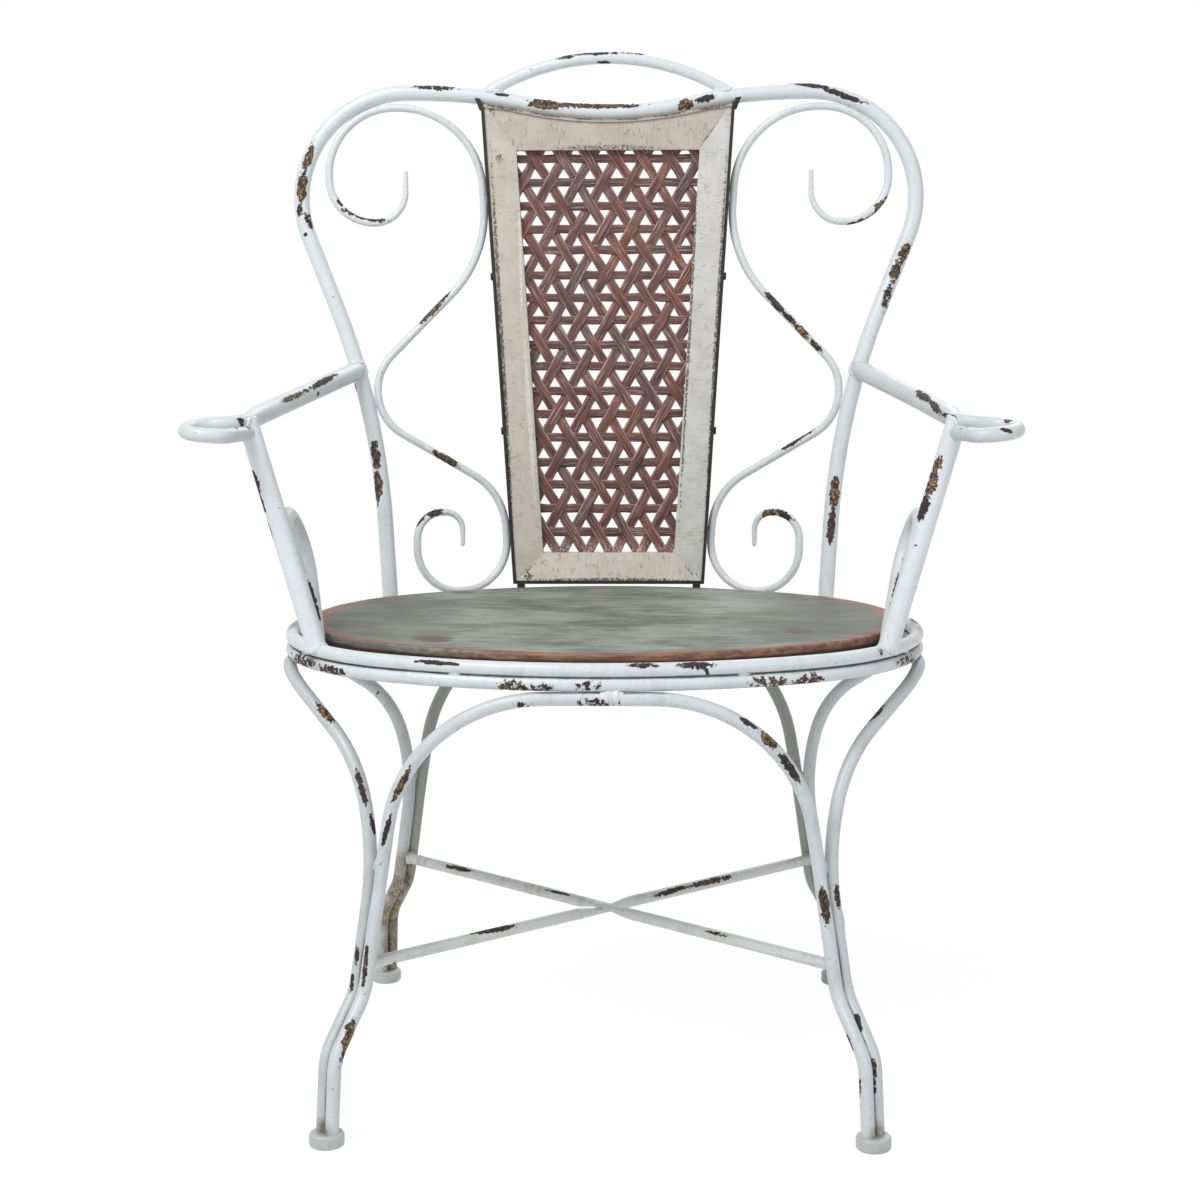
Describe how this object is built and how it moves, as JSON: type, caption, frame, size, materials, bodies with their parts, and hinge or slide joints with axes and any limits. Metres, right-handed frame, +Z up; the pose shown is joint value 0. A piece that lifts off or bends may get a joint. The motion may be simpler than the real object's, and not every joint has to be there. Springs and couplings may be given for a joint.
{
  "type": "garden armchair",
  "caption": "Garden armchair of bent and welded round tube with an oval seat board, scrolled back and arms, and a wood-framed three-way cane splat.",
  "frame": {"origin": "on the floor, midway between the four feet, which is the bottom centre of the bounding box", "axes": "+Z up, +Y to the back of the chair, +X to the right seen from the front"},
  "size_m": [0.7608, 0.506, 0.9943],
  "materials": {
    "frame_paint": "cool off-white gloss paint, chipped to rust and dark primer",
    "ring_paint": "off-white gloss paint, grimy and chipped along the rings",
    "leg_paint": "grey-white paint, weathered, with rust at the joints",
    "splat_iron": "near-black bare iron strip",
    "screw_steel": "dull screw heads",
    "frame_wood": "warm grey flat paint with fine cracks",
    "seat_wood": "streaked grey-green paint, worn to red-brown at the rim",
    "cane": "red-brown stained cane strands"
  },
  "bodies": {
    "root": {"arch_back": "leg_paint", "arch_front": "leg_paint", "arch_left": "leg_paint", "arch_right": "leg_paint", "arm_left": "frame_paint", "arm_post_left": "frame_paint", "arm_post_right": "frame_paint", "arm_right": "frame_paint", "arm_scroll_left": "frame_paint", "arm_scroll_right": "frame_paint", "back_hoop": "frame_paint", "board_strap_left": "ring_paint", "board_strap_right": "ring_paint", "cane_panel": "cane", "crest_bar": "frame_paint", "foot_cap_back_left": "leg_paint", "foot_cap_back_right": "leg_paint", "foot_cap_front_left": "leg_paint", "foot_cap_front_right": "leg_paint", "scroll_back_left": "frame_paint", "scroll_back_right": "frame_paint", "seat_board": "seat_wood", "seat_ring_lower": "ring_paint", "seat_ring_upper": "ring_paint", "splat_rail_bottom": "frame_wood", "splat_rail_top": "frame_wood", "splat_screws": "splat_iron", "splat_stile_left": "frame_wood", "splat_stile_right": "frame_wood", "splat_strip_bottom": "splat_iron", "splat_strip_left": "splat_iron", "splat_strip_right": "splat_iron", "splat_strip_top": "splat_iron", "splat_tabs_lower": "splat_iron", "splat_tabs_upper": "splat_iron", "strap_screws": "screw_steel", "stretcher_lower": "leg_paint", "stretcher_upper": "leg_paint"}
  },
  "joints": []
}
